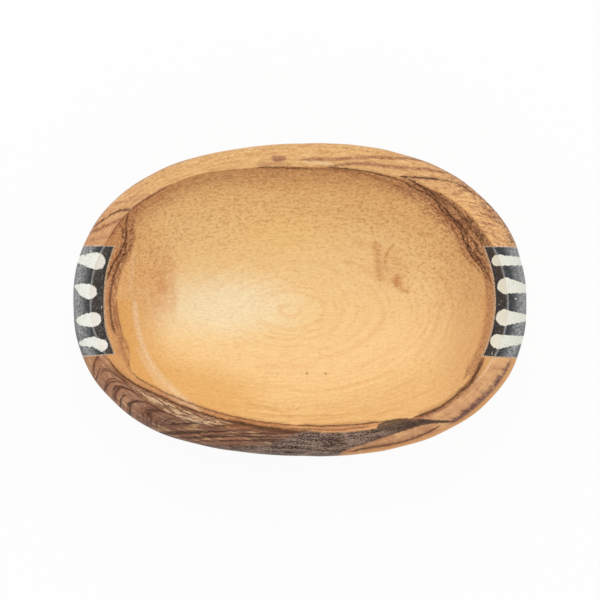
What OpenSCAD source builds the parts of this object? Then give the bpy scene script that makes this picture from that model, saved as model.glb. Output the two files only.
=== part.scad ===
// Oval olive wood dish, carved from one block, with a bone inlay let into the rim at each end.
// The plan is a four-centre oval: two end arcs and two flatter side arcs that meet in tangents.
// One cross-section of wall, rim and floor is carried round that oval.
// Frame: the origin is the middle of the flat base, +X runs along the dish and +Z points up.
// All sizes are in millimetres.

/* [Dish] */
// Length over the widest line of the dish
dish_length = 152; // [136:1:170]
// Width over the widest line of the dish
dish_width = 104.8; // [92:0.1:114]
// Height from the table to the crest of the rim
dish_height = 38; // [34:0.5:46]
// Radius of the end arcs, as a share of half the width
end_round_share = 0.915; // [0.85:0.005:0.95]

/* [Outer wall] */
// Height of the widest line above the table
girth_height = 29; // [26:0.5:31]
// Reach of the belly curve inwards from the widest line
belly_run = 32; // [28:0.5:36]
// Reach of the belly curve below the table, where the flat base cuts it off
belly_overshoot = 1.6; // [1:0.1:3]

/* [Rim and hollow] */
// Width of the domed rim, from the widest line to the crest
rim_width = 7.2; // [6:0.1:9]
// Reach of the rim's dome past the crest, which leaves a slope on the rim
dome_overshoot = 1.4; // [0.8:0.1:2.5]
// How square the rim's dome is: 2 is an ellipse
dome_power = 2.5; // [2:0.1:3]
// Thickness of the floor at the middle
floor_thickness = 9; // [7:0.5:11]
// Width of the level middle of the floor
floor_width = 16.8; // [12:0.1:30]
// Height above the crest of the middle of the hollow's curve, which leans the inner wall
hollow_lean = 16; // [10:0.5:22]

/* [Bone inlays] */
// Length of each bone inlay along the rim
inlay_length = 36.6; // [30:0.1:42]
// Depth of the bone below the crest
inlay_depth = 8.8; // [7:0.1:11]
// Thickness of the glue under and beside the bone
glue_thickness = 0.4; // [0.3:0.05:0.6]

/* [Hidden] */

// Overrun of every cutting and trimming block
overrun = 1;
// Steps along the belly, the dome and the hollow of the cross-section
belly_steps = 12;
dome_steps = 8;
hollow_steps = 18;
// Steps round each end arc and each side arc of the oval
end_steps = 24;
side_steps = 10;
// Facets of a full turn where an end is drawn on its own
arc_facets = 144;

// Half sizes and arc radii of the oval
half_length = dish_length / 2;
half_width = dish_width / 2;
end_radius = end_round_share * half_width;
end_centre = half_length - end_radius;
side_radius = (end_centre ^ 2 + half_width ^ 2 - end_radius ^ 2) / (2 * (half_width - end_radius));
side_centre = side_radius - half_width;
// Half of the angle that an end arc spans
end_half_angle = atan2(side_centre, end_centre);
end_span = 2 * end_half_angle;
side_span = 180 - end_span;

// Distance from the widest line to where the floor becomes level
floor_inset = half_width - floor_width / 2;

// Semi-axes and limits of the three curves in the cross-section
belly_drop = girth_height + belly_overshoot;
belly_end_angle = asin(girth_height / belly_drop);
dome_run = rim_width + dome_overshoot;
dome_crest_angle = acos((dome_overshoot / dome_run) ^ (dome_power / 2));
dome_rise = (dish_height - girth_height) / sin(dome_crest_angle) ^ (2 / dome_power);
hollow_drop = dish_height + hollow_lean - floor_thickness;
hollow_crest_angle = asin(hollow_lean / hollow_drop);
hollow_run = (floor_inset - rim_width) / cos(hollow_crest_angle);

// The curves as [inset from the widest line, height], in order round the wall
belly_points = [
    for (step = [0 : belly_steps])
        let (angle = belly_end_angle * (1 - step / belly_steps))
        [belly_run * (1 - cos(angle)), girth_height - belly_drop * sin(angle)]
];
dome_points = [
    for (step = [1 : dome_steps])
        let (angle = dome_crest_angle * step / dome_steps)
        [
            dome_run * (1 - cos(angle) ^ (2 / dome_power)),
            girth_height + dome_rise * sin(angle) ^ (2 / dome_power)
        ]
];
hollow_points = [
    for (step = [1 : hollow_steps])
        let (angle = hollow_crest_angle + (90 - hollow_crest_angle) * step / hollow_steps)
        [
            floor_inset - hollow_run * cos(angle),
            dish_height + hollow_lean - hollow_drop * sin(angle)
        ]
];

// The cross-section from the base's edge, over the rim, to the level floor
wall_points = concat(belly_points, dome_points, hollow_points);

// Points of one arc of the oval, drawn in from the widest line by an inset
function arc_points(centre, radius, from_angle, span, steps, inset, height) = [
    for (step = [0 : steps - 1])
        let (angle = from_angle + span * step / steps)
        [
            centre[0] + (radius - inset) * cos(angle),
            centre[1] + (radius - inset) * sin(angle),
            height
        ]
];

// One closed ring of the oval, anticlockwise from the +X end's lower joint
function oval_ring(inset, height) = concat(
    arc_points([end_centre, 0], end_radius, -end_half_angle, end_span, end_steps, inset, height),
    arc_points([0, -side_centre], side_radius, end_half_angle, side_span, side_steps, inset, height),
    arc_points([-end_centre, 0], end_radius, 180 - end_half_angle, end_span, end_steps, inset, height),
    arc_points([0, side_centre], side_radius, 180 + end_half_angle, side_span, side_steps, inset, height)
);

// The whole dish before the rim is notched: rings of the oval, skinned from the base to the floor
module dish_blank() {
    ring_size = 2 * (end_steps + side_steps);
    last_ring = len(wall_points) - 1;
    points = [for (point = wall_points) each oval_ring(point[0], point[1])];
    base_face = [for (i = [0 : ring_size - 1]) i];
    floor_face = [for (i = [ring_size - 1 : -1 : 0]) last_ring * ring_size + i];
    wall_faces = [
        for (ring = [0 : last_ring - 1], i = [0 : ring_size - 1])
            let (
                here = ring * ring_size + i,
                next = ring * ring_size + (i + 1) % ring_size
            )
            each [
                [here, here + ring_size, next + ring_size],
                [here, next + ring_size, next]
            ]
    ];
    polyhedron(points, concat([base_face], wall_faces, [floor_face]));
}

// The +X end of the dish alone, turned about the centre of its end arc
module dish_end() {
    translate([end_centre, 0, 0])
        rotate([0, 0, -end_half_angle])
            rotate_extrude(angle = end_span, $fn = arc_facets)
                polygon(concat(
                    [[0, 0]],
                    [for (point = wall_points) [end_radius - point[0], point[1]]],
                    [[0, floor_thickness]]
                ));
}

// Notch across the rim at the +X end, or the block that fills it when shrunk by a margin
module rim_notch(margin) {
    notch_floor = dish_height - inlay_depth - glue_thickness + margin;
    notch_length = inlay_length + 2 * (glue_thickness - margin);
    translate([end_centre, -notch_length / 2, notch_floor])
        cube([end_radius + overrun, notch_length, dish_height - notch_floor + overrun]);
}

// Turns the +X end to the end that is asked for
module at_end(side) {
    rotate([0, 0, side == "left" ? 180 : 0])
        children();
}

// Carved wooden dish with its two notches
module dish_body() {
    color("burlywood")
        difference() {
            dish_blank();
            for (side = ["left", "right"])
                at_end(side)
                    rim_notch(0);
        }
}

// Bone block that carries the rim's own section across the notch
module bone_inlay(side) {
    color("darkslategray")
        at_end(side)
            intersection() {
                dish_end();
                rim_notch(glue_thickness);
            }
}

// Film of glue under the bone and at its two ends
module glue_bed(side) {
    color("wheat")
        at_end(side)
            intersection() {
                dish_end();
                difference() {
                    rim_notch(0);
                    rim_notch(glue_thickness);
                }
            }
}

dish_body();
bone_inlay("left");  // left_bone_inlay
bone_inlay("right");  // right_bone_inlay
glue_bed("left");  // left_glue_bed
glue_bed("right");  // right_glue_bed
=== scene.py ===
# Oval olive wood dish with a dyed bone inlay in the rim at each end, seen from straight above.
import math
from types import SimpleNamespace

import bpy
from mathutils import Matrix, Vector, noise


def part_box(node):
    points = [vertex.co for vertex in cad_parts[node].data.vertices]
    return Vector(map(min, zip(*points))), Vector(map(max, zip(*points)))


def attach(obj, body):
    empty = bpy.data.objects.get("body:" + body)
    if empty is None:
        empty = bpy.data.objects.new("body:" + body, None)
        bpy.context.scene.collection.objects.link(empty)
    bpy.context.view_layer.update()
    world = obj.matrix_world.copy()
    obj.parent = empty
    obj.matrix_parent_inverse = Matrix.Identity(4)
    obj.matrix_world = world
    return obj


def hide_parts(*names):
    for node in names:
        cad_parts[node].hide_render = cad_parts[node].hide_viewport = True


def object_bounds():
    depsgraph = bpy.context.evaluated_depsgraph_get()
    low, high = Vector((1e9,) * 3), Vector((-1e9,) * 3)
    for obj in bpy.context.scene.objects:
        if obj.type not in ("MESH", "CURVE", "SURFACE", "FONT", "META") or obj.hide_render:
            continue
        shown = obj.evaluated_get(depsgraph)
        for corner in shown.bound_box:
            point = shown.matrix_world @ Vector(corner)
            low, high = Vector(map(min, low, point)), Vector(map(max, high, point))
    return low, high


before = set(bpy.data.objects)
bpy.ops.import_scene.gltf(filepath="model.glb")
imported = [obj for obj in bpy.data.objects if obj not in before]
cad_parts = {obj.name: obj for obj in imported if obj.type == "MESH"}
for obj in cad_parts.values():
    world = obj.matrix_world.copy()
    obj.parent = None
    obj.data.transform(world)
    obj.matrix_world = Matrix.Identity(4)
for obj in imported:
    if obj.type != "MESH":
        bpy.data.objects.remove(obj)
cad_low, cad_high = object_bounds()


# The dish, as carved
# One block of olive wood, carved by hand to a full belly, a broad domed rim and a deep hollow, then oiled.
# Its plan is an oval of four arcs, so the wall's section is drawn once and spun about the four arc centres.

def work_on(piece):
    """Makes a piece the only selected and active object."""
    bpy.ops.object.select_all(action="DESELECT")
    piece.select_set(True)
    bpy.context.view_layer.objects.active = piece


half_length = cad_high.x
half_width = cad_high.y
dish_height = cad_high.z
end_round_share = 0.915
end_radius = end_round_share * half_width
end_centre = half_length - end_radius
side_radius = (end_centre ** 2 + half_width ** 2 - end_radius ** 2) / (2 * (half_width - end_radius))
side_centre = side_radius - half_width
end_half_angle = math.atan2(side_centre, end_centre)

girth_height = 0.029
belly_run = 0.032
belly_overshoot = 0.0016
belly_drop = girth_height + belly_overshoot
rim_width = 0.0072
dome_overshoot = 0.0014
dome_run = rim_width + dome_overshoot
dome_power = 2.5
floor_half_width = 0.0084
floor_inset = half_width - floor_half_width
floor_height = 0.009
hollow_lean = 0.016
hollow_top = dish_height + hollow_lean
hollow_drop = hollow_top - floor_height
hair = 0.00001


def wall_section():
    """Rows of inset from the widest line, height, and shares of the wander in the girth and in the crest."""
    rows = []
    belly_end = math.asin(girth_height / belly_drop)
    belly_steps = 22
    for step in range(belly_steps):
        angle = belly_end * (1 - step / belly_steps)
        height = girth_height - belly_drop * math.sin(angle)
        rows.append((belly_run * (1 - math.cos(angle)), height, height / girth_height, 0))
    dome_end = math.acos(((dome_run - rim_width) / dome_run) ** (dome_power / 2))
    dome_rise = (dish_height - girth_height) / math.sin(dome_end) ** (2 / dome_power)
    dome_steps = 18
    for step in range(dome_steps + 1):
        angle = dome_end * step / dome_steps
        inset = dome_run * (1 - math.cos(angle) ** (2 / dome_power))
        height = girth_height + dome_rise * math.sin(angle) ** (2 / dome_power)
        rows.append((inset, height, 1 - inset / rim_width, inset / rim_width))
    hollow_start = math.asin((hollow_top - dish_height) / hollow_drop)
    hollow_run = (floor_inset - rim_width) / math.cos(hollow_start)
    hollow_steps = 44
    for step in range(1, hollow_steps + 1):
        angle = hollow_start + (math.pi / 2 - hollow_start) * step / hollow_steps
        height = hollow_top - hollow_drop * math.sin(angle)
        crest_share = (height - floor_height) / (dish_height - floor_height)
        rows.append((floor_inset - hollow_run * math.cos(angle), height, 0, crest_share))
    return rows


section = wall_section()
start_direction = Vector((math.cos(-end_half_angle), math.sin(-end_half_angle), 0))
section_places = []
for inset, height, girth_share, crest_share in section:
    section_places.append(Vector((end_centre, 0, height)) + start_direction * (end_radius - inset))

seed_size = 0.001
bpy.ops.object.select_all(action="DESELECT")
bpy.ops.mesh.primitive_plane_add(size=seed_size, location=section_places[0])
dish = bpy.context.object
dish.name = "carved_dish"
bpy.ops.object.transform_apply()
bpy.ops.object.mode_set(mode="EDIT")
bpy.ops.mesh.merge(type="CENTER")
for here, after in zip(section_places, section_places[1:]):
    bpy.ops.mesh.extrude_region_move(TRANSFORM_OT_translate={"value": after - here})
bpy.ops.object.mode_set(mode="OBJECT")
girth_group = dish.vertex_groups.new(name="girth_carving")
crest_group = dish.vertex_groups.new(name="crest_carving")
for index, (inset, height, girth_share, crest_share) in enumerate(section):
    girth_group.add([index], girth_share, "REPLACE")
    crest_group.add([index], crest_share, "REPLACE")

bpy.ops.object.mode_set(mode="EDIT")
bpy.ops.mesh.select_all(action="SELECT")
end_steps = 110
side_steps = 50
arcs = (
    ((end_centre, 0, 0), 2 * end_half_angle, end_steps),
    ((0, -side_centre, 0), math.pi - 2 * end_half_angle, side_steps),
    ((-end_centre, 0, 0), 2 * end_half_angle, end_steps),
    ((0, side_centre, 0), math.pi - 2 * end_half_angle, side_steps),
)
for centre, span, steps in arcs:
    bpy.ops.mesh.spin(steps=steps, angle=span, center=centre, axis=(0, 0, -1))
bpy.ops.mesh.select_all(action="SELECT")
bpy.ops.mesh.remove_doubles(threshold=hair)


def select_by(piece, test):
    """Selects the vertices that pass a test, in edit mode."""
    bpy.ops.mesh.select_all(action="DESELECT")
    bpy.ops.object.mode_set(mode="OBJECT")
    for vertex in piece.data.vertices:
        vertex.select = test(vertex)
    bpy.ops.object.mode_set(mode="EDIT")
    bpy.ops.mesh.select_mode(type="VERT")


def on_floor_edge(vertex):
    """Whether a vertex lies on the edge of the level floor."""
    level = abs(vertex.co.z - floor_height) < hair
    return level and abs(vertex.co.y) < half_width - floor_inset + hair


floor_rings = 2
floor_ring_width = 0.0015
select_by(dish, lambda vertex: vertex.co.z < hair)
bpy.ops.mesh.edge_face_add()
select_by(dish, on_floor_edge)
bpy.ops.mesh.edge_face_add()
for ring in range(floor_rings):
    bpy.ops.mesh.inset(thickness=floor_ring_width)
bpy.ops.mesh.select_all(action="SELECT")
bpy.ops.mesh.normals_make_consistent(inside=False)
bpy.ops.object.mode_set(mode="OBJECT")

# Where the carver went in or out of the true oval, as (angle round the dish in degrees, metres outwards)
girth_wander = (
    (-180, -0.0001), (-170, 0.0005), (-160, 0.0008), (-150, 0.0005), (-135, 0.0005), (-120, 0.0003),
    (-110, 0.0001), (-100, 0), (-90, 0), (-80, 0.0004), (-70, 0.0007), (-60, 0.00115), (-50, 0.0012),
    (-40, 0.0006), (-30, 0.0009), (-20, 0.0011), (-10, 0.0004), (0, -0.0002), (10, -0.0001), (15, 0.0002),
    (30, -0.0003), (40, -0.0001), (50, 0.0005), (62, 0.0009), (70, 0.00075), (80, 0.0004), (90, 0),
    (100, -0.0001), (110, -0.0001), (130, -0.0001), (140, -0.0006), (150, -0.0003), (160, 0), (170, 0.0002),
    (180, -0.0001),
)
crest_wander = (
    (-180, 0.0006), (-172, 0.0008), (-165, 0), (-150, -0.0001), (-125, -0.0004), (-105, -0.0016),
    (-90, -0.0014), (-75, -0.0008), (-60, -0.0002), (-45, -0.0002), (-35, -0.0004), (-27, -0.0003),
    (-20, 0.0001), (-13, 0.0004), (-5, 0.0003), (5, -0.0002), (15, -0.0007), (25, -0.0009), (52, -0.0007),
    (70, -0.0009), (80, -0.0012), (90, -0.0013), (100, -0.0009), (110, -0.0006), (120, 0), (125, 0.0004),
    (131, 0.0007), (137, 0.0002), (143, -0.0001), (152, 0.0001), (165, 0.0002), (172, 0.0006),
    (180, 0.0006),
)


def wander_at(wander, degrees):
    """The carver's wander at an angle, eased from one place to the next."""
    for (low_angle, low), (high_angle, high) in zip(wander, wander[1:]):
        if degrees <= high_angle:
            share = (degrees - low_angle) / (high_angle - low_angle)
            return low + (high - low) * share * share * (3 - 2 * share)
    return wander[-1][1]


def weight_in(vertex, group):
    """A vertex's weight in a group."""
    return sum(entry.weight for entry in vertex.groups if entry.group == group.index)


unevenness = 0.00018
unevenness_scale = 75
carving_normals = [vertex.normal.copy() for vertex in dish.data.vertices]
for vertex, normal in zip(dish.data.vertices, carving_normals):
    place = vertex.co.copy()
    degrees = math.degrees(math.atan2(place.y, place.x))
    outwards = Vector((place.x / half_length ** 2, place.y / half_width ** 2, 0)).normalized()
    vertex.co += outwards * weight_in(vertex, girth_group) * wander_at(girth_wander, degrees)
    vertex.co += outwards * weight_in(vertex, crest_group) * wander_at(crest_wander, degrees)
    if place.z > floor_height / 2:
        dent = noise.noise(place * unevenness_scale) - 1
        vertex.co += normal * unevenness * dent


# The notches in the rim
# A saw cut across each end of the rim, a little off the middle, with leaning ends and a rising floor.
# Each bone and its glue are cut from the form that the notch leaves open, so both lie flush with the rim.

sides = (("left", -1), ("right", 1))
notch_low, notch_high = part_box("right_glue_bed")
bone_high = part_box("right_bone_inlay")[1]
notch_shift = {"left": -0.0006, "right": -0.001}
notch_round = {"left": 0.07, "right": 0.12}
notch_lowest = {"left": 0.0015, "right": -0.003}
bone_floor = {"left": 0.0296, "right": 0.0299}
glue_depth = {"left": 0.0008, "right": 0.001}
far_taper = {"left": 0, "right": -0.015}
near_taper = {"left": 0.07, "right": 0.045}
notch_facets = 300
notch_overrun = 0.004
inner_overrun = 0.01
notch_inner = notch_low.x - inner_overrun
notch_outer = half_length + notch_overrun


def copy_of(piece, name):
    """A copy of a piece with its own mesh."""
    work_on(piece)
    bpy.ops.object.duplicate()
    twin = bpy.context.object
    twin.name = name
    return twin


def trim(piece, place, normal):
    """Cuts away the part of a piece in front of a plane and closes the cut."""
    work_on(piece)
    bpy.ops.object.mode_set(mode="EDIT")
    bpy.ops.mesh.select_all(action="SELECT")
    bpy.ops.mesh.bisect(plane_co=place, plane_no=normal, use_fill=True, clear_outer=True, threshold=hair / 10)
    bpy.ops.object.mode_set(mode="OBJECT")


def notch_block(name, side, lowest, half_span):
    """A block across the rim at one end, with a floor that curves up a little towards its ends."""
    middle = notch_shift[name]
    bpy.ops.object.select_all(action="DESELECT")
    bpy.ops.mesh.primitive_cylinder_add(
        vertices=notch_facets,
        radius=notch_round[name],
        depth=notch_outer - notch_inner,
        location=(
            side * (notch_inner + notch_outer) / 2,
            middle + notch_lowest[name],
            lowest + notch_round[name],
        ),
        rotation=(0, math.pi / 2, 0),
    )
    block = bpy.context.object
    bpy.ops.object.transform_apply()
    trim(block, (side * half_length, middle + half_span, 0), (-side * far_taper[name], 1, 0))
    trim(block, (side * half_length, middle - half_span, 0), (-side * near_taper[name], -1, 0))
    trim(block, (0, 0, dish_height + notch_overrun), (0, 0, 1))
    return block


def saw(piece, operation, block):
    """Cuts a piece with a block, or keeps what lies inside the block."""
    work_on(piece)
    bpy.ops.object.modifier_add(type="BOOLEAN")
    modifier = piece.modifiers[-1]
    modifier.operation = operation
    modifier.solver = "EXACT"
    modifier.object = block
    bpy.ops.object.modifier_apply(modifier=modifier.name)


bones = {}
glues = {}
notch_blocks = []
for name, side in sides:
    notch = notch_block(name, side, bone_floor[name] - glue_depth[name], notch_high.y)
    seat = notch_block(name, side, bone_floor[name], bone_high.y)
    glues[name] = copy_of(dish, name + "_glue_film")
    trim(glues[name], (0, notch_high.y + notch_overrun, 0), (0, 1, 0))
    trim(glues[name], (0, notch_low.y - notch_overrun, 0), (0, -1, 0))
    trim(glues[name], (side * notch_inner, 0, 0), (-side, 0, 0))
    bpy.ops.object.vertex_group_remove(all=True)
    bones[name] = copy_of(glues[name], name + "_dyed_bone")
    saw(bones[name], "INTERSECT", seat)
    saw(glues[name], "INTERSECT", notch)
    saw(glues[name], "DIFFERENCE", seat)
    bpy.data.objects.remove(seat)
    notch_blocks.append(notch)

work_on(notch_blocks[0])
notch_blocks[1].select_set(True)
bpy.ops.object.join()
saw(dish, "DIFFERENCE", notch_blocks[0])
bpy.data.objects.remove(notch_blocks[0])

crest_round = 0.0006
crest_steps = 4
at_crest = 0.9999
wood_smoothing = 40
bpy.ops.object.mode_set(mode="EDIT")
select_by(dish, lambda vertex: weight_in(vertex, crest_group) > at_crest)
bpy.ops.mesh.bevel(offset=crest_round, segments=crest_steps, affect="EDGES")
bpy.ops.object.mode_set(mode="OBJECT")
work_on(dish)
bpy.ops.object.vertex_group_remove(all=True)
bpy.ops.object.shade_smooth_by_angle(angle=math.radians(wood_smoothing))


# The olive wood
# Olive wood cut close to the heart: pale in the hollow, dark brown in the near rim, with dark lines along the
# crest and at both ends. It is laid on in layers, by the angle round the dish and the inset from its edge.

def colour(shade):
    """A colour from its 8-bit screen values. One that comes out of a node stays as it is."""
    if isinstance(shade, bpy.types.NodeSocket):
        return shade
    parts = []
    for value in shade:
        share = value / 255
        parts.append(share / 12.92 if share <= 0.04045 else ((share + 0.055) / 1.055) ** 2.4)
    return (*parts, 1)


def new_node(kind, *values):
    """A new node in the node tree of the first socket among some values."""
    tree = next(value.id_data for value in values if isinstance(value, bpy.types.NodeSocket))
    return tree.nodes.new(kind)


def feed(socket, value):
    """Links a socket to another node's socket, or sets it to a constant."""
    if isinstance(value, bpy.types.NodeSocket):
        socket.id_data.links.new(value, socket)
    else:
        socket.default_value = value


def feed_all(node, values):
    """Feeds a node's inputs by their names."""
    for name, value in values.items():
        feed(node.inputs[name], value)


def maths(operation, *values, clamp=False):
    """A Math node's result."""
    node = new_node("ShaderNodeMath", *values)
    node.operation = operation
    node.use_clamp = clamp
    for socket, value in zip(node.inputs, values):
        feed(socket, value)
    return node.outputs["Value"]


def vector_maths(operation, *values, scale=1):
    """A Vector Math node's result."""
    node = new_node("ShaderNodeVectorMath", *values)
    node.operation = operation
    for socket, value in zip(node.inputs, values):
        feed(socket, value)
    feed(node.inputs[3], scale)
    return node.outputs["Value" if operation in ("DOT_PRODUCT", "DISTANCE") else "Vector"]


def separate(vector):
    """The three parts of a vector."""
    node = new_node("ShaderNodeSeparateXYZ", vector)
    feed(node.inputs["Vector"], vector)
    return node.outputs["X"], node.outputs["Y"], node.outputs["Z"]


def join_parts(x, y):
    """A flat vector from two parts."""
    node = new_node("ShaderNodeCombineXYZ", x, y)
    feed_all(node, {"X": x, "Y": y})
    return node.outputs["Vector"]


def length(x, y):
    """The length of a flat vector."""
    return maths("SQRT", maths("MULTIPLY_ADD", x, x, maths("MULTIPLY", y, y)))


def spread(value, low, high, to_low=0, to_high=1, kind="SMOOTHSTEP"):
    """A value stretched from one range to another and held at its ends."""
    node = new_node("ShaderNodeMapRange", value)
    node.interpolation_type = kind
    feed_all(node, {"Value": value, "From Min": low, "From Max": high, "To Min": to_low, "To Max": to_high})
    return node.outputs["Result"]


def overlap(*masks):
    """Where several masks are all laid."""
    shared = masks[0]
    for mask in masks[1:]:
        shared = maths("MULTIPLY", shared, mask)
    return shared


def between(value, start, full, fading, end):
    """A mask that comes in from a start until it is full, and goes out from where it is fading to its end."""
    return overlap(spread(value, start, full), spread(value, end, fading))


def gather(masks):
    """Several (mask, depth) pairs as one mask."""
    clear = 1
    for mask, depth in masks:
        clear = maths("MULTIPLY", maths("MULTIPLY_ADD", mask, -depth, 1), clear)
    return maths("SUBTRACT", 1, clear)


def tint(amount, below, above, kind="MIX"):
    """One colour laid over another by an amount."""
    node = new_node("ShaderNodeMix", amount)
    node.data_type = "RGBA"
    node.blend_type = kind
    settings = {"Factor_Float": amount, "A_Color": colour(below), "B_Color": colour(above)}
    for socket in node.inputs:
        if socket.identifier in settings:
            feed(socket, settings[socket.identifier])
    return next(socket for socket in node.outputs if socket.identifier == "Result_Color")


def stain(below, above, *masks, kind="MIX"):
    """One colour laid over another where several masks are all laid."""
    return tint(overlap(*masks), below, above, kind)


mm_per_metre = 1000


def place_in_mm(tree):
    """The place on the piece in millimetres."""
    source = tree.nodes.new("ShaderNodeTexCoord").outputs["Object"]
    return vector_maths("SCALE", source, scale=mm_per_metre)


def grain_noise(place, scale, detail=2, roughness=0.5, output="Fac"):
    """Noise at a scale per millimetre."""
    node = new_node("ShaderNodeTexNoise", place)
    feed_all(node, {"Vector": place, "Scale": scale, "Detail": detail, "Roughness": roughness})
    return node.outputs[output]


def wavering(place, scale, reach):
    """A place moved about by noise."""
    wave = vector_maths("SUBTRACT", grain_noise(place, scale, 2, output="Color"), (0.5, 0.5, 0.5))
    return vector_maths("ADD", place, vector_maths("SCALE", wave, scale=reach))


def flow_noise(along, across, scale, stretch, detail=3, roughness=0.7):
    """Streaks: noise across a flow, drawn out along it."""
    place = join_parts(maths("MULTIPLY", along, stretch), across)
    return grain_noise(place, scale, detail, roughness)


def smooth_curve(value, points):
    """A smooth curve through points of (value, height): the share of the way along it, and its height."""
    first = points[0][0]
    last = points[-1][0]
    reach = max(abs(height) for step, height in points) + 1
    node = new_node("ShaderNodeFloatCurve", value)
    curve = node.mapping.curves[0]
    while len(curve.points) < len(points):
        curve.points.new(0.5, 0.5)
    for point, (step, height) in zip(curve.points, points):
        point.location = ((step - first) / (last - first), 0.5 + height / reach / 2)
    node.mapping.update()
    share = spread(value, first, last, kind="LINEAR")
    feed(node.inputs["Value"], share)
    return share, maths("MULTIPLY_ADD", node.outputs["Value"], 2 * reach, -reach)


def past_curve(value, height, points):
    """How far a height lies past a smooth curve."""
    return maths("SUBTRACT", height, smooth_curve(value, points)[1])


def grain_line(along, across, points, width):
    """Distance from a line through (along, across) points, in widths of the line. Its ends are pointed."""
    tip_share = 0.14
    least_width = 0.0001
    share, centre = smooth_curve(along, points)
    away = maths("ABSOLUTE", maths("SUBTRACT", across, centre))
    width_here = spread(maths("PINGPONG", share, 0.5), 0, tip_share, least_width, width)
    return maths("DIVIDE", away, width_here)


def grain_patch(across, down, centre, reach, core=0.2):
    """A soft oval patch about a centre."""
    offset_across = maths("DIVIDE", maths("SUBTRACT", across, centre[0]), reach[0])
    offset_down = maths("DIVIDE", maths("SUBTRACT", down, centre[1]), reach[1])
    return spread(length(offset_across, offset_down), 1, core)


def new_group(name, inputs, outputs):
    """A node group with named sockets, and the sockets inside it to read from and to feed."""
    group = bpy.data.node_groups.new(name, "ShaderNodeTree")
    for end, sockets in (("INPUT", inputs), ("OUTPUT", outputs)):
        for label, kind in sockets.items():
            group.interface.new_socket(name=label, in_out=end, socket_type="NodeSocket" + kind)
    return group, group.nodes.new("NodeGroupInput").outputs, group.nodes.new("NodeGroupOutput").inputs


def use_group(group, values):
    """A node group placed in a material with its own values."""
    node = new_node("ShaderNodeGroup", *values.values())
    node.node_tree = group
    feed_all(node, values)
    return node.outputs


def rim_place_group():
    """The angle round the dish in degrees and the inset from its widest line, for a place in millimetres."""
    outputs = {"Angle": "Float", "Inset": "Float"}
    group, given, result = new_group("rim_place", {"Place": "Vector"}, outputs)
    x, y = separate(given["Place"])[:2]
    far_x = maths("ABSOLUTE", x)
    far_y = maths("ABSOLUTE", y)
    from_end = maths("SUBTRACT", far_x, end_centre * mm_per_metre)
    from_side = maths("ADD", far_y, side_centre * mm_per_metre)
    end_inset = maths("SUBTRACT", end_radius * mm_per_metre, length(from_end, far_y))
    side_inset = maths("SUBTRACT", side_radius * mm_per_metre, length(far_x, from_side))
    at_end = maths("LESS_THAN", far_y, maths("MULTIPLY", from_end, math.tan(end_half_angle)))
    difference = maths("SUBTRACT", end_inset, side_inset)
    feed(result["Inset"], maths("MULTIPLY_ADD", difference, at_end, side_inset))
    feed(result["Angle"], maths("DEGREES", maths("ARCTAN2", y, x)))
    return group


rim_place = rim_place_group()


def places_on_dish(tree):
    """Where a point of the wood lies, which way it faces, and the noises that the layers share."""
    place = place_in_mm(tree)
    bent = wavering(wavering(wavering(place, 0.09, 0.9), 0.8, 0.6), 2.2, 0.35)
    rim = use_group(rim_place, {"Place": bent})
    x, y, z = separate(bent)
    facing_up = separate(tree.nodes.new("ShaderNodeNewGeometry").outputs["Normal"])[2]
    return SimpleNamespace(
        place=place,
        x=x,
        y=y,
        z=z,
        angle=rim["Angle"],
        turn=maths("FLOORED_MODULO", rim["Angle"], 360),
        inset=rim["Inset"],
        facing_up=facing_up,
        upper=spread(facing_up, -0.15, 0.05),
        mottle=grain_noise(place, 0.3, 3, 0.65),
        specks=grain_noise(vector_maths("MULTIPLY", place, (0.55, 1, 1)), 1.9, 3, 0.8),
        grain=grain_noise(vector_maths("MULTIPLY", place, (0.7, 1, 1)), 1.15, 4, 0.8),
        rim_fibres=flow_noise(rim["Angle"], rim["Inset"], 1.3, 0.11),
    )


def around(at, points):
    """The angle that suits a line: the turn from 0 to 360 where the line crosses the left end."""
    return at.turn if points[-1][0] > 180 else at.angle


def past_line(at, points):
    """How far a place lies inside a line round the dish through (angle, inset) points."""
    return past_curve(around(at, points), at.inset, points)


def rim_line(at, points, width):
    """Distance from a line round the dish through (angle, inset) points, in widths of the line."""
    return grain_line(around(at, points), at.inset, points, width)


def colour_ramp(value, stops):
    """A colour that runs through stops of (value, colour)."""
    first = stops[0][0]
    last = stops[-1][0]
    node = new_node("ShaderNodeValToRGB", value)
    elements = node.color_ramp.elements
    while len(elements) < len(stops):
        elements.new(0.5)
    for element, (step, shade) in zip(elements, stops):
        element.position = (step - first) / (last - first)
        element.color = colour(shade)
    feed(node.inputs["Fac"], spread(value, first, last, kind="LINEAR"))
    return node.outputs["Color"]


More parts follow.
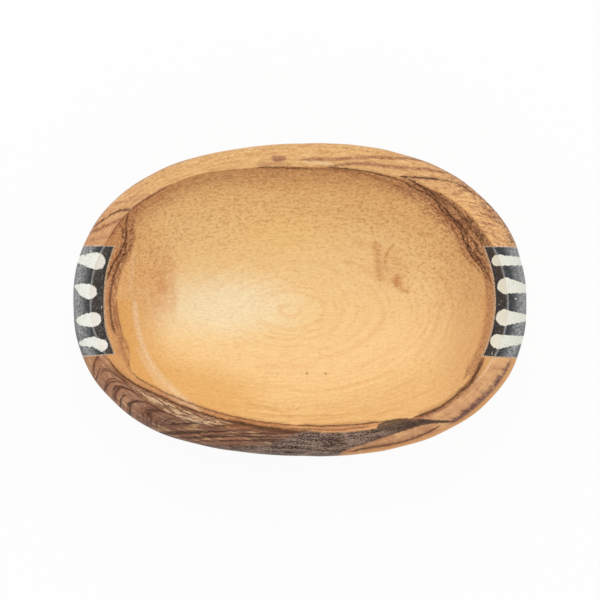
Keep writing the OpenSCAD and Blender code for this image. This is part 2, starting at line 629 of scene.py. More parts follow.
def hollow_colour(at):
    """A cream floor with faint growth rings, which turns golden up the wall and tan towards both ends."""
    ring_across = maths("DIVIDE", maths("ADD", at.x, 3.2), 1.85)
    ring = length(ring_across, maths("ADD", at.y, 3.6))
    rings = flow_noise(grain_noise(at.place, 0.04, 1), ring, 0.75, 7, 2)
    out_across = maths("DIVIDE", maths("ADD", at.x, 27), 62)
    out_down = maths("DIVIDE", maths("ADD", at.y, 2), 26)
    out = maths("MULTIPLY_ADD", rings, 0.25, length(out_across, out_down))
    wood = tint(spread(out, 0.2, 0.75), (255, 237, 194), (252, 215, 153))
    wood = stain(wood, (243, 201, 139), spread(out, 1.2, 1.8))
    wood = stain(wood, (220, 172, 118), spread(at.x, 40, 61, 0, 0.65))
    wood = stain(wood, (236, 185, 125), spread(at.x, -42, -58, 0, 0.7))
    ring_depth = spread(at.x, -32, -8, 0.04, 0.17)
    ring_lines = overlap(spread(rings, 0.45, 0.68), ring_depth)
    wood = stain(wood, (222, 166, 100), ring_lines, kind="MULTIPLY")
    mottled = overlap(
        grain_patch(at.x, at.y, (-47, 5), (11, 19), 0),
        spread(at.x, -40, -43.5),
        spread(at.mottle, 0.3, 0.6, 0.4, 0.9),
    )
    wood = stain(wood, (228, 170, 113), mottled)
    far_gold = grain_patch(at.x, at.y, (-6, 24), (36, 13), 0)
    return stain(wood, (255, 214, 132), far_gold, 0.45)


def rim_colour(at, wood):
    """Wood on the wall below the rim, darker under the far crest where that band is partly painted shade,
    then the rim's own colours by angle, up to its inner edge.
    """
    rim_edge = (
        (-180, 7.2), (-163, 7.4), (-158, 7.9), (-155, 8.5), (-152, 9.5), (-148, 10.4), (-140, 10.7),
        (-130, 10.2), (-120, 9.6), (-115, 10.1), (-105, 9.6), (-90, 8.9), (-80, 7.8), (-70, 7.1),
        (-60, 6.6), (-52, 7.5), (-45, 7.6), (-35, 7.8), (-27, 7.6), (-16, 7), (0, 7.3), (15, 8), (35, 8.1),
        (52, 7.9), (60, 8.1), (75, 8.2), (90, 8.6), (100, 8.2), (110, 7.8), (120, 7.2), (130, 6.5),
        (137, 7), (143, 7.3), (152, 7.1), (180, 7.2),
    )
    rim_colours = (
        (-180, (206, 152, 112)), (-166, (188, 137, 101)), (-158, (166, 120, 92)), (-150, (168, 124, 100)),
        (-142, (132, 96, 79)), (-125, (121, 85, 67)), (-92, (122, 90, 76)), (-72, (190, 140, 102)),
        (-40, (212, 158, 114)), (-25, (220, 168, 120)), (20, (224, 174, 122)), (60, (221, 175, 116)),
        (140, (222, 176, 117)), (158, (216, 164, 116)), (180, (206, 152, 112)),
    )
    past_edge = past_line(at, rim_edge)
    at.past_edge = past_edge
    at.on_rim = spread(past_edge, 0.25, -0.25)

    # Partly painted shade: a darker band on the far wall just under the crest, streaked by the rim's fibres.
    far_wall_grain_and_shade = overlap(
        between(at.angle, 15, 60, 150, 170),
        spread(past_edge, 8, 0),
        spread(at.rim_fibres, 0.3, 0.65, 0.45, 0.85),
    )
    wood = stain(wood, (186, 134, 92), far_wall_grain_and_shade)
    near_wall = overlap(between(at.angle, -135, -115, -60, -40), spread(past_edge, 12, 5))
    wall_lines = flow_noise(at.angle, at.inset, 0.85, 0.04, 2)
    wood = stain(wood, (218, 162, 92), near_wall, spread(wall_lines, 0.48, 0.64, 0, 0.4))
    golden = overlap(spread(at.angle, -100, -130), spread(past_edge, 20, 8))
    wood = stain(wood, (234, 178, 102), golden, 0.7)

    rim = colour_ramp(at.angle, rim_colours)
    rim = stain(rim, (190, 138, 92), spread(at.rim_fibres, 0.5, 0.68, 0, 0.42), kind="MULTIPLY")
    rim = stain(rim, (244, 202, 142), spread(at.rim_fibres, 0.48, 0.34, 0, 0.5))
    return stain(wood, rim, at.on_rim)


def cross_strokes(at, wood):
    """Short orange strokes across the far right rim, with purple-brown mottling at its outer edge."""
    slant = maths("MULTIPLY_ADD", at.inset, -0.8, at.angle)
    strokes = flow_noise(at.inset, slant, 0.65, 0.3, 4, 0.8)
    span = overlap(at.on_rim, between(at.angle, 8, 14, 34, 44))
    wood = stain(wood, (158, 102, 68), span, spread(strokes, 0.5, 0.6, 0, 0.85))
    wood = stain(wood, (246, 194, 126), span, spread(strokes, 0.5, 0.38, 0, 0.85))
    mottling = overlap(
        span,
        spread(at.inset, 4.2, 1),
        spread(at.grain, 0.45, 0.58),
        spread(at.angle, 36, 26, 0.4, 0.9),
    )
    return stain(wood, (116, 82, 76), mottling)


def near_right_rim(at, wood):
    """Soft streaks across the near right rim, a ragged purple-brown smudge and an orange outer edge."""
    span = overlap(at.on_rim, between(at.angle, -78, -66, -16, -14))
    streaks = flow_noise(at.inset, at.angle, 0.3, 0.4, 4, 0.75)
    wood = stain(wood, (192, 136, 98), span, spread(streaks, 0.5, 0.62, 0, 0.5))
    wood = stain(wood, (234, 184, 128), span, spread(streaks, 0.48, 0.36, 0, 0.6))
    edge = overlap(span, spread(at.inset, 1.4, 0.2))
    wood = stain(wood, (228, 164, 98), edge, 0.75)
    teeth = flow_noise(at.inset, at.angle, 0.3, 0.5, 4, 0.65)
    past_teeth = maths("MULTIPLY_ADD", teeth, -9, maths("ADD", at.inset, 2.1))
    smudge = overlap(
        spread(past_teeth, 1.3, -0.9),
        spread(at.inset, 0.2, 1.5),
        between(at.angle, -41, -37, -18, -15),
        spread(at.specks, 0.3, 0.55, 0.65, 1),
    )
    return stain(wood, (116, 78, 74), smudge)


def near_strip(at, wood):
    """A strip of orange wood below the near crest, down to the brown line where the pale hollow starts."""
    strip_foot = (
        (-168, 10.3), (-160, 10.7), (-155, 11), (-150, 11.9), (-145, 12.3), (-138, 12.3), (-130, 11.8),
        (-115, 11.2), (-90, 10.5), (-80, 10.1), (-70, 9.7), (-62, 9.2), (-54, 8.2),
    )
    strip = overlap(
        spread(past_line(at, strip_foot), 0.5, -0.3),
        spread(at.past_edge, -0.3, 0.2),
        spread(at.angle, -165, -146, 0.3, 1),
        spread(at.angle, -54, -58),
        spread(at.rim_fibres, 0.36, 0.56, 0.35, 0.9),
    )
    shade = tint(spread(at.angle, -118, -136), (204, 142, 92), (206, 156, 116))
    shade = stain(shade, (228, 170, 122), spread(at.angle, -105, -88))
    return stain(wood, shade, strip)


def near_rim_streaks(at, wood):
    """Brown streaks along the near rim, which sweep out and cross it as arcs towards the left bone."""
    sweep = ((-142, 13.6), (-135, 9), (-128, 5.5), (-120, 2.9), (-110, 1.1), (-100, 0.25), (-88, 0))
    bulge = ((-1, -0.8), (0.5, 0), (2.5, 1.5), (4, 2.1), (5.5, 1.5), (6.6, -0.2), (7.6, -3.5), (9, -9))
    swept = maths("ADD", at.inset, smooth_curve(at.angle, sweep)[1])
    arched = maths("ADD", at.angle, smooth_curve(at.inset, bulge)[1])
    along_rim = flow_noise(at.angle, swept, 0.9, 0.035, 3, 0.62)
    across_rim = flow_noise(at.inset, arched, 0.7, 0.1, 4, 0.75)
    across_rim = spread(across_rim, 0.2, 0.8, 0.25, 0.75, kind="LINEAR")
    turned = spread(at.angle, -131, -140)
    streaks = maths("MULTIPLY_ADD", maths("SUBTRACT", across_rim, along_rim), turned, along_rim)
    span = overlap(at.on_rim, between(at.angle, -172, -158, -95, -78))
    wood = stain(wood, (70, 45, 36), span, spread(streaks, 0.49, 0.57, 0, 0.88))
    return stain(wood, (180, 123, 88), span, spread(streaks, 0.47, 0.33, 0, 0.7))


def heartwood(at, wood):
    """Dark heartwood in the near rim, between an outer and an inner edge given as (angle, inset)."""
    heart_outer = (
        (-130, -1.5), (-80, -1.5), (-76.5, -0.4), (-74.5, 1), (-70, 2.2), (-65, 2.8), (-60, 3.5), (-55, 4),
        (-50, 4.3), (-45.5, 4.3), (-42.5, 3.6), (-40, 2.2), (-37.3, 0.9),
    )
    heart_inner = (
        (-130, -0.6), (-125, 0.8), (-118, 2.4), (-110, 4), (-100, 6), (-95, 7.6), (-90, 9.1), (-80, 8.4),
        (-70, 7.8), (-63, 7.4), (-59.5, 7.4), (-57.5, 8.5), (-54, 8.9), (-51, 8.7), (-48, 8), (-45, 7),
        (-42.5, 5.4), (-40, 3.6), (-37.3, 1),
    )
    softness = spread(at.angle, -88, -98, -0.35, -2.6)
    heart = overlap(
        spread(past_line(at, heart_outer), -0.25, 0.35),
        spread(past_line(at, heart_inner), 0.15, softness),
        between(at.angle, -132, -124, -38, -37.2),
    )
    at.heart = heart
    drawn_out = flow_noise(at.angle, at.inset, 1.1, 0.1)
    fine_specks = grain_noise(at.place, 2.4, 2, 0.8)
    speckled = maths("MULTIPLY_ADD", drawn_out, 0.45, maths("MULTIPLY", fine_specks, 0.55))
    shade = tint(spread(speckled, 0.43, 0.55), (158, 134, 120), (40, 30, 30))
    tip = spread(at.angle, -62, -50)
    shade = stain(shade, (38, 29, 30), tip, 0.85)
    return stain(wood, shade, heart, 0.92)


def end_bands(at, wood):
    """Mottled red-brown bands below both bones, and brown wood between the left one and the crest."""
    left_band = (
        (149, 7), (152, 7.8), (155, 9.2), (158, 10.9), (161, 12.3), (165, 12.9), (170, 12.6), (180, 12.5),
        (188, 12.8), (196, 12.4), (203, 11),
    )
    lengthwise = flow_noise(at.turn, past_line(at, left_band), 1.1, 0.3, 4, 0.8)
    amount = overlap(
        spread(rim_line(at, left_band, 2.3), 1.1, 0.55),
        spread(at.turn, 206, 178, 0.55, 0.95),
        spread(at.mottle, 0.28, 0.55, 0.6, 1),
    )
    flecks = maths("MAXIMUM", spread(lengthwise, 0.45, 0.58), spread(at.grain, 0.5, 0.6))
    shade = tint(flecks, (226, 176, 128), (150, 98, 74))
    wood = stain(wood, shade, amount)
    right_band = ((-27, 10.4), (-17, 11.2), (-8, 12), (0, 12.2), (8, 12.3), (14, 12.4))
    right_amount = spread(rim_line(at, right_band, 1.9), 1, 0.4)
    right_shade = tint(spread(at.specks, 0.42, 0.6), (206, 150, 108), (136, 88, 66))
    wood = stain(wood, right_shade, right_amount, 0.65)
    filled = (
        (128, 7.4), (138, 9), (148, 9.4), (153, 9), (158, 10.6), (162, 12), (168, 12.4), (196, 12.4),
        (206, 10),
    )
    by_crest = overlap(
        between(at.turn, 128, 140, 196, 206),
        spread(past_line(at, filled), 1, -1),
        spread(at.past_edge, -0.6, 0.1),
        spread(at.grain, 0.38, 0.58, 0.35, 0.95),
    )
    by_crest = overlap(by_crest, spread(at.turn, 182, 196, 1, 0.55))
    shade = tint(spread(at.turn, 164, 182), (206, 150, 106), (224, 172, 124))
    return stain(wood, shade, by_crest)


def fan(at, wood):
    """Brown wood between the crest and a line that sags across the right end, streaked along that line."""
    fan_edge = (
        (2, 12), (7, 13), (12, 14.6), (17, 15.4), (20, 15), (24, 13.6), (28, 13.2), (34, 12.2), (40, 10.6),
        (45, 9.8), (53, 8),
    )
    before_edge = past_line(at, fan_edge)
    streaks = flow_noise(at.angle, before_edge, 1.1, 0.2, 4, 0.75)
    amount = overlap(
        spread(before_edge, 1.2, -0.6), spread(at.past_edge, -0.2, 0.3), between(at.angle, 2, 14, 43, 53)
    )
    flecks = maths("MAXIMUM", spread(streaks, 0.45, 0.57), spread(at.grain, 0.5, 0.64))
    shade = tint(flecks, (210, 158, 116), (92, 59, 46))
    wood = stain(wood, shade, amount, 0.9)
    blot = overlap(
        grain_patch(at.angle, at.inset, (20, 9.5), (4, 1.8)),
        spread(at.specks, 0.42, 0.55),
    )
    wood = stain(wood, (58, 42, 38), blot, 0.9)
    pinkish = overlap(
        spread(before_edge, 5, 0.8),
        spread(before_edge, -0.5, 0.3),
        between(at.angle, 18, 26, 44, 58),
        spread(at.grain, 0.38, 0.6, 0.15, 0.95),
    )
    return stain(wood, (176, 123, 94), pinkish)


def knots(at, wood):
    """Soft orange marks on the floor and a mark on the far rim, where small branches left the trunk."""
    upright = ((5.6, 27.4), (9, 27.2), (13, 26.6), (17, 25.9), (20.5, 25.8))
    boot = ((1.6, 37), (3.2, 35.4), (4.4, 33.6), (6, 33), (9.2, 33.8))
    arc = ((8.4, 30.9), (9.8, 29.7), (12.7, 29), (16.3, 29.7), (18.2, 31), (20.2, 33.4))
    striped = flow_noise(at.x, at.y, 1.5, 0.25, 3, 0.7)
    broken = spread(striped, 0.4, 0.6, 0.5, 1)
    marks = [
        (overlap(spread(grain_line(at.y, at.x, upright, 2.2), 1.1, 0), broken), 0.8),
        (spread(grain_line(at.y, at.x, boot, 2.4), 1.1, 0.1), 0.6),
        (spread(grain_line(at.y, at.x, arc, 1), 1, 0), 0.6),
        (grain_patch(at.x, at.y, (33.4, 6), (2.4, 3.2), 0), 0.75),
        (grain_patch(at.x, at.y, (30, 10), (9, 10), 0), 0.3),
    ]
    softened = overlap(gather(marks), spread(at.grain, 0.3, 0.6, 0.45, 1))
    wood = stain(wood, (210, 144, 88), softened)
    dots = [(grain_patch(at.x, at.y, centre, (0.7, 0.7)), 0.7) for centre in ((2.4, -25.1), (8.7, -25.1))]
    wood = stain(wood, (164, 112, 72), gather(dots))
    rim_mark = grain_patch(at.angle, at.inset, (98.6, 5.4), (4, 1.4), 0.5)
    rim_mark = overlap(rim_mark, spread(at.specks, 0.34, 0.56, 0.4, 0.95))
    return stain(wood, (150, 98, 76), rim_mark)


def pale_marks(at, wood):
    """Pale wood: a fibrous patch by the near left crest, sweeps up the left wall, a pale line on the far rim,
    and a painted highlight along the near right crest.
    """
    patch_top = (
        (-157, 7.4), (-150, 7.5), (-145, 7.6), (-138, 7.2), (-132, 7), (-127, 7.2), (-122, 8.2), (-116, 9),
    )
    patch_foot = ((-157, 7.9), (-152, 9), (-147, 9.8), (-142, 10.2), (-135, 10), (-128, 9.7), (-116, 9.4))
    slanted = maths("MULTIPLY_ADD", at.angle, 0.08, at.inset)
    fibres = flow_noise(at.angle, slanted, 2.4, 0.09)
    patch = overlap(
        spread(past_line(at, patch_top), -0.2, 0.4),
        spread(past_line(at, patch_foot), 0.2, -0.3),
        between(at.angle, -157, -150, -121, -116),
    )
    wood = stain(wood, (122, 92, 73), patch, 0.7)
    wood = stain(wood, (228, 200, 166), patch, spread(fibres, 0.54, 0.43, 0, 0.95))
    pale_lines = (
        (((-184, 20.5), (-177, 20.1), (-169, 19.4), (-161, 17.9), (-154, 16.5), (-145, 14.4), (-137, 12),
          (-129, 9.8)), 1.6, 0.8),
        (((-165, 16.6), (-157, 15.6), (-150, 14), (-142, 12), (-136, 10.6)), 1, 0.5),
        (((163, 15.6), (168, 17.3), (173, 18.2), (178, 18.8)), 0.9, 0.5),
        # Painted highlight: the pale line along the near right crest
        (((-29, 7.5), (-22, 7.2), (-14, 6.9)), 0.5, 0.95),
        (((75, 7), (82, 6.8), (89, 6.8)), 0.9, 0.5),
    )
    marks = [(spread(rim_line(at, points, width), 1, 0), depth) for points, width, depth in pale_lines]
    amount = overlap(gather(marks), spread(at.specks, 0.6, 0.4, 0.5, 1))
    return stain(wood, (246, 219, 180), amount)


def dark_lines(at, wood):
    """Lines of grain in the rim and upper wall, as (points, width, depth). The two thin lines along the far
    silhouette are painted shade where the belly turns away.
    """
    # Points of angle and inset, for lines that run along the rim
    rim_lines = (
        # far left
        (((152.4, 7.2), (155.6, 8.4), (158.8, 10.4), (161.4, 11.7), (164.6, 12.1), (170, 11.3), (175, 10.9)),
         0.48, 0.88),
        (((160.5, 11.2), (162.6, 12.5), (165.2, 13.4), (169, 12.9), (175, 12.7), (180, 12.3), (192, 12.2)),
         0.55, 0.8),
        (((156.9, 6.9), (157.8, 8.6), (160, 10), (161.5, 11.2)), 0.45, 0.75),
        (((138, 7.1), (144, 7.4), (150, 7.2), (164, 7.2)), 0.35, 0.55),
        # Painted shade: a thin dark line along the far left silhouette, where the belly turns away from the
        # light
        (((122, 0.3), (130, 0.4), (140, 0.8), (150, 0.5), (158, 0.3), (167, 0.2)), 0.35, 0.4),
        # far side
        (((84, 8.8), (90, 8.7), (95, 8.5), (100, 8.25), (109, 7.9)), 0.35, 0.75),
        # far right rim
        (((40.5, 4), (43, 4.9), (45, 5.6), (48, 6.6), (51.5, 7.5)), 0.6, 0.9),
        (((29, 1.4), (32, 1.8), (35, 2.1), (38, 2.9), (42, 4.5), (46, 6)), 0.4, 0.75),
        # Painted shade: a thin dark line along the far right silhouette, where the belly turns away from the
        # light
        (((14, 0.2), (25, 0.6), (33, 0.8), (40, 0.5), (48, 0), (57, -0.5)), 0.35, 0.4),
        (((49, 8.6), (56, 8.1), (62, 7.9), (70, 8), (79, 8.2)), 0.4, 0.85),
        # fan on the right end
        (((3, 11), (7, 12), (13, 13.6), (17, 14.3), (20, 13.2), (22, 12.4), (28, 12.1), (31, 11.6),
          (34, 10.8), (38, 9.4), (45, 8), (48, 7.4), (52, 7.3)), 0.42, 0.95),
        (((4, 12.4), (9, 13.4), (14, 14.9), (18, 14.6), (20.5, 14.2), (24, 13), (28, 12.8), (32, 12.2),
          (37, 10.4), (44, 9.5), (48, 8.7), (52, 8.2)), 0.38, 0.9),
        (((18, 10.2), (24, 10.6), (30, 9.6), (36, 9), (42, 8.4)), 0.3, 0.6),
        # right end and near right rim
        (((-73, 0.5), (-66, 1.3), (-62, 1.2), (-57, 0.9), (-50, 1), (-46, 1.6), (-41, 2.5)), 0.55, 0.8),
        (((-47, 7.6), (-40, 7.8), (-30, 8.3), (-27, 7.9), (-24, 8.4), (-20, 9), (-16.4, 9.4)), 0.6, 0.95),
        (((-31, 9), (-26, 8.6), (-20, 9.5), (-16.4, 10)), 0.35, 0.7),
        # near side
        (((-93, 10.5), (-80, 10.1), (-70, 9.7), (-62, 9.2), (-54, 8.7)), 0.45, 0.8),
        (((-97, 9.6), (-88, 9.3), (-80, 9), (-70, 8.5), (-59, 8.2)), 0.35, 0.6),
        (((-164, 7.3), (-158, 7.8), (-155, 8.4), (-152, 9.4), (-148, 10.3), (-140, 10.7), (-130, 10.2),
          (-119, 9.6)), 0.5, 0.9),
        (((-161, 10.7), (-155, 11), (-150, 11.9), (-145, 12.3), (-140, 12.4), (-130, 11.8), (-115, 11.2),
          (-88, 10.5)), 0.4, 0.65),
        (((-160, 7.2), (-154, 7.3), (-148, 7.2), (-140, 6.9), (-134, 6.6)), 0.4, 0.7),
        (((-124, 9.4), (-115, 9.7), (-108, 9.3), (-100, 9), (-88, 8.3)), 1, 0.9),
    )
    # The same, for broader and softer red-brown lines
    soft_lines = (
        (((149.8, 8), (154.3, 9.4), (158.1, 11.7), (162, 13.8), (166, 14.8), (170.4, 14.2), (178, 14.4)),
         1, 0.55),
        (((93, 7.4), (100, 7.1), (109, 6.7)), 1, 0.4),
        (((46, -0.6), (54, 1.1), (60, 2.5), (65, 3.3), (70, 4.3), (75, 5.1), (80, 5.6), (92, 6.1)), 0.9, 0.9),
        (((38, 0.2), (44, 1.9), (50, 3.7), (53, 4.4), (57, 4.9), (62, 5.3), (67, 5.7), (71, 6.4),
          (75, 7.3), (80, 8)), 0.9, 0.95),
        (((41, 11.1), (48, 10.6), (53, 10), (58, 9.3), (65, 8.9), (89, 8.9)), 0.8, 0.6),
        (((7, 14), (10, 15), (13, 16.3), (20, 16), (22, 15.4), (27, 14), (34, 12.6), (38, 11.8)), 0.8, 0.7),
        (((-49, 7), (-40, 7.2), (-35, 7.5), (-29, 7.6), (-22, 7.9)), 0.8, 0.75),
        (((-181, 14.6), (-170, 13.4), (-162, 12), (-157, 10.8)), 0.9, 0.55),
    )
    # Points of inset and angle, for lines that cross the rim
    cross_lines = (
        (((0.2, 161.2), (2.1, 158.1), (4.2, 154.3), (5.4, 153), (7.2, 151.9)), 0.85, 0.8),
        (((0.2, -151), (2.5, -153), (4, -153.8), (6, -153.2), (7.8, -150.4)), 0.7, 0.8),
        (((0.4, -154.8), (2.5, -156.2), (4.5, -156.4), (7.5, -154)), 0.45, 0.65),
        (((2.6, -140.6), (4.2, -143.2), (5.6, -143.4), (7.4, -140)), 1.9, 0.7),
        (((-0.4, -159.4), (2, -162.2), (3.6, -163.8), (5.4, -164.6)), 0.6, 0.75),
    )
    # The same, for broader and softer lines
    soft_cross_lines = (
        (((0.4, 162.4), (3.6, 159.7), (5.2, 157.8), (7.2, 155.4)), 1.3, 0.9),
        (((1.6, 164.6), (4.8, 162.6), (6.8, 161.9)), 1, 0.5),
        (((1.2, 153), (3.2, 151), (5.2, 149.1), (7, 146.9)), 1, 0.55),
        (((3.4, 149.2), (5.2, 147.2), (7, 145.2)), 1, 0.5),
    )
    cores = []
    halos = []
    for points, width, depth in rim_lines:
        away = rim_line(at, points, width)
        cores.append((spread(away, 1, 0.1), depth))
        halos.append((spread(away, 2.8, 0.5), depth * 0.55))
    for points, width, depth in cross_lines:
        away = grain_line(at.inset, at.angle, points, width)
        cores.append((spread(away, 1, 0.1), depth))
        halos.append((spread(away, 2.4, 0.5), depth * 0.5))
    for points, width, depth in soft_lines:
        halos.append((spread(rim_line(at, points, width), 1.2, 0.1), depth))
    for points, width, depth in soft_cross_lines:
        halos.append((spread(grain_line(at.inset, at.angle, points, width), 1.2, 0.1), depth))
    halo = overlap(gather(halos), spread(at.grain, 0.35, 0.6, 0.55, 1))
    wood = stain(wood, (154, 100, 72), halo)
    core = overlap(gather(cores), spread(at.specks, 0.25, 0.55, 0.6, 1))
    return stain(wood, (66, 37, 29), core)


def outer_wood(at):
    """The belly and base: heartwood in the near side, climbing to the rim on the right, then paler wood."""
    outer_colours = (
        (0, (74, 56, 50)), (12, (92, 68, 58)), (22, (136, 96, 74)), (32, (180, 130, 92)),
        (48, (212, 165, 113)), (115, (224, 180, 122)),
    )
    heart_shift = maths("MAXIMUM", maths("ADD", at.x, 20), 0)
    heart_y = maths("MULTIPLY_ADD", heart_shift, -0.3, maths("ADD", at.y, 58))
    heart_z = maths("MULTIPLY_ADD", heart_shift, -0.35, maths("SUBTRACT", at.z, 18))
    narrowing = maths("MULTIPLY_ADD", heart_shift, 0.11, 1)
    ring = length(heart_y, heart_z)
    lines = flow_noise(at.x, ring, 0.42, 0.06, 4, 0.7)
    from_heart = maths("MULTIPLY_ADD", ring, narrowing, spread(lines, 0.2, 0.8, -14, 14, kind="LINEAR"))
    wood = colour_ramp(from_heart, outer_colours)
    wood = stain(wood, (156, 108, 78), spread(lines, 0.5, 0.68, 0, 0.55), kind="MULTIPLY")
    return stain(wood, (214, 166, 118), spread(lines, 0.44, 0.34, 0, 0.35))


def new_material(name):
    """A material with its node tree and main shader."""
    material = bpy.data.materials.new(name)
    material.use_nodes = True
    return material, material.node_tree, material.node_tree.nodes["Principled BSDF"]


bump_depth = 0.0002


def roughen(shader, height, strength):
    """Lets small bumps of a height catch the light."""
    bump = new_node("ShaderNodeBump", height)
    feed_all(bump, {"Strength": strength, "Distance": bump_depth, "Height": height})
    feed(shader.inputs["Normal"], bump.outputs["Normal"])


def olive_wood():
    """Olive wood, oiled to a low sheen, with this block's own figure in the rim and hollow."""
    material, tree, shader = new_material("olive_wood")
    at = places_on_dish(tree)
    wood = hollow_colour(at)
    layers = (
        rim_colour, cross_strokes, near_right_rim, near_strip, near_rim_streaks, heartwood, end_bands, fan,
        knots, pale_marks, dark_lines,
    )
    for layer in layers:
        wood = layer(at, wood)
    wood = tint(at.upper, outer_wood(at), wood)

    drifted = wavering(at.place, 0.05, 8)
    fibres = grain_noise(vector_maths("MULTIPLY", drifted, (0.06, 1, 1)), 2.6, 3, 0.75)
    wood = stain(wood, (190, 136, 88), spread(fibres, 0.48, 0.72, 0, 0.25), kind="MULTIPLY")
    wood = stain(wood, (190, 138, 94), spread(at.specks, 0.5, 0.7, 0, 0.22), kind="MULTIPLY")
    sloped = maths("MAXIMUM", spread(at.facing_up, 1, 0.8, 0.35, 1), spread(at.x, 20, 42))
    in_hollow = spread(at.past_edge, -0.5, 0.5, 0.7, 1)
    on_top = spread(at.upper, 0, 1, 0.25, 1)
    coarse = overlap(spread(at.y, -15, 20, 0.14, 0.5), sloped, in_hollow, on_top)
    pores = overlap(spread(at.grain, 0.47, 0.62), coarse)
    wood = stain(wood, (188, 128, 88), pores, kind="MULTIPLY")
    wood = stain(wood, (244, 200, 144), spread(at.grain, 0.48, 0.36), coarse)
    wood = stain(wood, (226, 184, 140), spread(at.mottle, 0.5, 0.8, 0, 0.15), kind="MULTIPLY")
    scuffs = overlap(spread(at.specks, 0.4, 0.28, 0, 0.6), at.heart, at.upper)
    wood = stain(wood, (182, 162, 146), scuffs)

    sheen = spread(fibres, 0.2, 0.8, 0.42, 0.58)
    feed_all(shader, {"Base Color": wood, "Roughness": sheen, "Specular IOR Level": 0.15})
    roughen(shader, fibres, 0.3)
    return material


def finish_piece(piece, material, node):
    """Gives a piece its material and lets it stand for its node."""
    piece.data.materials.clear()
    piece.data.materials.append(material)
    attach(piece, "root")
    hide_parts(node)


finish_piece(dish, olive_wood(), "dish_body")


# The bone inlays
# Two blocks of bone, glued into the notches and filed to the rim's own form. Wax drops kept the black dye off
# the cream spots. A pale line along the crest is a painted highlight. The outer slope is painted lighter
# grey, partly mottled dye and partly painted sheen. The inner face is painted darker as painted shade, and
# its cream spots are painted brighter against that shade.

bone_edge = 0.0002
bone_edge_steps = 2
bone_edge_angle = 25
bone_smoothing = 30
# Drops as (x, y of the head, radius), (x, y of the tip, radius), in millimetres, and how late a drop narrows
drops = {
    "left": (
        ((-67.8, 12.9, 2.9), (-73.6, 13.4, 1.2), 1),
        ((-70.1, 2.6, 2.45), (-74.5, 4.4, 0.6), 2),
        ((-68.6, -6.6, 2.35), (-72.8, -7, 1.5), 2),
        ((-65.9, -15.2, 1.85), (-68.6, -13.9, 1.6), 1),
        ((-68.6, -13.9, 1.7), (-72.8, -14.5, 0.8), 1.5),
    ),
    "right": (
        ((65.8, 13.1, 1.9), (74.5, 12.8, 1.3), 0.75),
        ((68.6, 4.6, 2.75), (75.6, 3.6, 1.35), 0.75),
        ((68.2, -6, 2.75), (75.6, -6, 1.05), 0.75),
        ((66, -13.9, 2.45), (74.4, -13.4, 1.3), 0.75),
    ),
}
raggedness = {"left": 0.75, "right": 0.2}
cream_colour = {"left": (238, 238, 231), "right": (230, 229, 217)}
# Cream for the spots on the inner face, painted brighter as painted light against the shade there
inner_cream_painted_light = {"left": (250, 255, 255), "right": (239, 243, 232)}
# Share of pale speckle in the painted shade of each bone's inner face
inner_speckle = {"left": 0.75, "right": 0.4}


def batik_drop_group():
    """A drop with a round head that narrows to its tip, as a mask over the plan of the bone."""
    softness = 0.12
    inputs = {
        "Plan": "Vector",
        "Head": "Vector",
        "Reach": "Vector",
        "Head Radius": "Float",
        "Tip Radius": "Float",
        "Lateness": "Float",
    }
    group, given, result = new_group("batik_drop", inputs, {"Mask": "Float"})
    offset = vector_maths("SUBTRACT", given["Plan"], given["Head"])
    square = vector_maths("DOT_PRODUCT", given["Reach"], given["Reach"])
    along = maths("DIVIDE", vector_maths("DOT_PRODUCT", offset, given["Reach"]), square, clamp=True)
    spine = vector_maths("SCALE", given["Reach"], scale=along)
    away = vector_maths("DISTANCE", offset, spine)
    narrowing = maths("SUBTRACT", given["Tip Radius"], given["Head Radius"])
    radius = maths("MULTIPLY_ADD", maths("POWER", along, given["Lateness"]), narrowing, given["Head Radius"])
    feed(result["Mask"], spread(maths("SUBTRACT", away, radius), softness, -softness))
    return group


batik_drop = batik_drop_group()


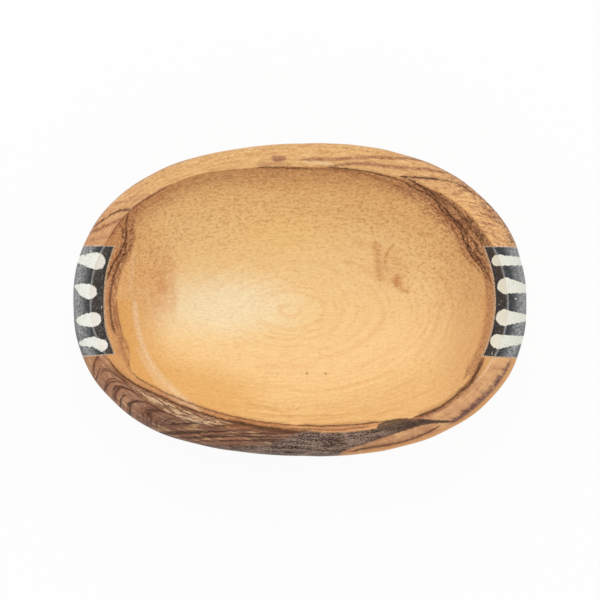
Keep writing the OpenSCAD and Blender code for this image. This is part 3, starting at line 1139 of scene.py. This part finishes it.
def dyed_bone(name):
    """Black-dyed bone with cream drops."""
    material, tree, shader = new_material(name + "_dyed_bone")
    place = place_in_mm(tree)
    rim = use_group(rim_place, {"Place": place})
    speckle = grain_noise(place, 1.2, 3, 0.75)
    scratches = grain_noise(vector_maths("MULTIPLY", place, (0.5, 2.2, 1)), 1.6, 2, 0.6)

    # Partly painted sheen: the outer slope is painted lighter grey towards its outer edge, mottled by the
    # speckle.
    slope_sheen_and_mottle = overlap(
        spread(rim["Inset"], 6, 1.8),
        spread(rim["Inset"], -0.2, 1.5, 0.1, 1),
        spread(speckle, 0.34, 0.62, 0.2, 1),
    )
    dye = tint(slope_sheen_and_mottle, (56, 57, 58), (164, 165, 164))
    dye = stain(dye, (132, 132, 130), spread(scratches, 0.56, 0.7, 0, 0.4))
    crest_points = [(degrees, (rim_width - wander) * mm_per_metre) for degrees, wander in crest_wander]
    past_crest = past_curve(rim["Angle"], rim["Inset"], crest_points)
    inner_face = spread(past_crest, -0.1, 0.3)
    # Painted shade: the dye on the inner face, which faces down into the hollow, is painted darker and bluer
    # than on the slope.
    inner_dye_painted_shade = tint(spread(speckle, 0.46, 0.62, 0, inner_speckle[name]), (36, 41, 48), (108, 112, 118))
    dye = stain(dye, inner_dye_painted_shade, inner_face)
    # Painted highlight: a pale grey line along the crest, where the crest would catch the light.
    crest_highlight = spread(maths("ABSOLUTE", past_crest), 0.5, 0.1)
    crest_highlight = overlap(crest_highlight, spread(speckle, 0.3, 0.6, 0.2, 0.8))
    dye = stain(dye, (160, 164, 168), crest_highlight)
    dye = stain(dye, (222, 222, 220), spread(grain_noise(place, 0.9, 1), 0.75, 0.765))

    ragged = wavering(wavering(place, 1, 0.9), 2.2, raggedness[name])
    plan = vector_maths("MULTIPLY", ragged, (1, 1, 0))
    masks = []
    for head, tip, lateness in drops[name]:
        drop = {
            "Plan": plan,
            "Head": (head[0], head[1], 0),
            "Reach": (tip[0] - head[0], tip[1] - head[1], 0),
            "Head Radius": head[2],
            "Tip Radius": tip[2],
            "Lateness": lateness,
        }
        masks.append((use_group(batik_drop, drop)["Mask"], 1))
    spots = gather(masks)
    cream = tint(spread(speckle, 0.4, 0.7), cream_colour[name], (222, 219, 204))
    cream = stain(cream, (160, 130, 98), spread(grain_noise(place, 1.7, 2), 0.66, 0.74))
    # Painted light: the cream spots on the inner face are painted brighter and cooler against the shade and
    # warm bounce there.
    cream = stain(cream, inner_cream_painted_light[name], inner_face)
    bone = stain(dye, cream, spots)

    sheen = spread(speckle, 0.3, 0.7, 0.3, 0.48)
    polish = spread(inner_face, 0, 1, 0.15, 0)
    feed_all(shader, {"Base Color": bone, "Roughness": sheen, "Specular IOR Level": 0.12})
    feed_all(shader, {"Coat Weight": polish, "Coat Roughness": 0.3})
    roughen(shader, maths("ADD", speckle, scratches), 0.25)
    return material


for name, bone in bones.items():
    work_on(bone)
    bpy.ops.object.modifier_add(type="BEVEL")
    edge = bone.modifiers[-1]
    edge.width = bone_edge
    edge.segments = bone_edge_steps
    edge.limit_method = "ANGLE"
    edge.angle_limit = math.radians(bone_edge_angle)
    bpy.ops.object.modifier_apply(modifier=edge.name)
    bpy.ops.object.shade_smooth_by_angle(angle=math.radians(bone_smoothing))
    finish_piece(bone, dyed_bone(name), name + "_bone_inlay")


# The glue films
# Hard glue mixed with wood dust, which shows as a thin pale line round each bone. It fills the gap between
# the sawn notch and the bone, and is scraped flush with the rim.

def hard_glue():
    """Pale glue with wood dust in it."""
    material, tree, shader = new_material("hard_glue")
    dust = grain_noise(place_in_mm(tree), 1.6, 3, 0.75)
    glue = tint(spread(dust, 0.42, 0.62), (214, 190, 164), (158, 120, 92))
    feed_all(shader, {"Base Color": glue, "Roughness": spread(dust, 0.3, 0.7, 0.45, 0.65)})
    return material


glue_material = hard_glue()
for name, glue in glues.items():
    finish_piece(glue, glue_material, name + "_glue_bed")


# The floor and the light
# A pale floor, soft light all round, and one broad soft lamp from beyond the far side of the dish.

floor_size = 6
floor_grey = (0.85, 0.85, 0.85, 1)
floor_roughness = 0.9
white = (1, 1, 1, 1)
shown_white = 0.93
sky_strength = 0.87
lamp_place = Vector((-0.1, 1.0, 1.1))
lamp_aim = Vector((0, 0, 0.02))
lamp_size = (1.4, 0.9)
lamp_power = 6

bpy.ops.object.select_all(action="DESELECT")
bpy.ops.mesh.primitive_plane_add(size=floor_size)
floor = bpy.context.object
floor.name = "floor"


def white_floor():
    """White to the camera and in reflections, with the shadow of the dish left faintly on it."""
    material, tree, shader = new_material("white_floor")
    feed_all(shader, {"Base Color": floor_grey, "Roughness": floor_roughness})
    rays = tree.nodes.new("ShaderNodeLightPath")
    seen = maths("MAXIMUM", rays.outputs["Is Camera Ray"], rays.outputs["Is Glossy Ray"])
    seen = maths("MAXIMUM", seen, rays.outputs["Is Transmission Ray"])
    glow = tree.nodes.new("ShaderNodeEmission")
    feed(glow.inputs["Color"], white)
    mixed = tree.nodes.new("ShaderNodeMixShader")
    feed(mixed.inputs["Fac"], maths("MULTIPLY", seen, shown_white))
    feed(mixed.inputs[1], shader.outputs["BSDF"])
    feed(mixed.inputs[2], glow.outputs["Emission"])
    feed(tree.nodes["Material Output"].inputs["Surface"], mixed.outputs["Shader"])
    return material


floor.data.materials.append(white_floor())

world = bpy.data.worlds.new("studio")
bpy.context.scene.world = world
world.use_nodes = True
sky = world.node_tree.nodes["Background"]
feed_all(sky, {"Color": white, "Strength": sky_strength})

lamp_data = bpy.data.lights.new("soft_lamp", "AREA")
lamp_data.shape = "RECTANGLE"
lamp_data.size, lamp_data.size_y = lamp_size
lamp_data.energy = lamp_power
lamp = bpy.data.objects.new("soft_lamp", lamp_data)
lamp.location = lamp_place
lamp.rotation_euler = (lamp_aim - lamp_place).to_track_quat("-Z", "Y").to_euler()
bpy.context.scene.collection.objects.link(lamp)


# The camera
# It looks straight down at the dish from about a metre away, as the photograph was taken.

picture_size = 600
metres_per_pixel = 0.0003345
dish_middle_in_picture = (300, 299.7)
camera_lens = 180
camera_sensor = 36
camera_data = bpy.data.cameras.new("camera")
camera_data.lens = camera_lens
camera_data.sensor_width = camera_sensor
view_width = picture_size * metres_per_pixel
camera_height = girth_height + view_width * camera_lens / camera_sensor
shift = [(picture_size / 2 - middle) * metres_per_pixel for middle in dish_middle_in_picture]
camera = bpy.data.objects.new("camera", camera_data)
camera.location = (shift[0], -shift[1], camera_height)
bpy.context.scene.collection.objects.link(camera)
bpy.context.scene.camera = camera
bpy.context.scene.view_settings.view_transform = "Standard"
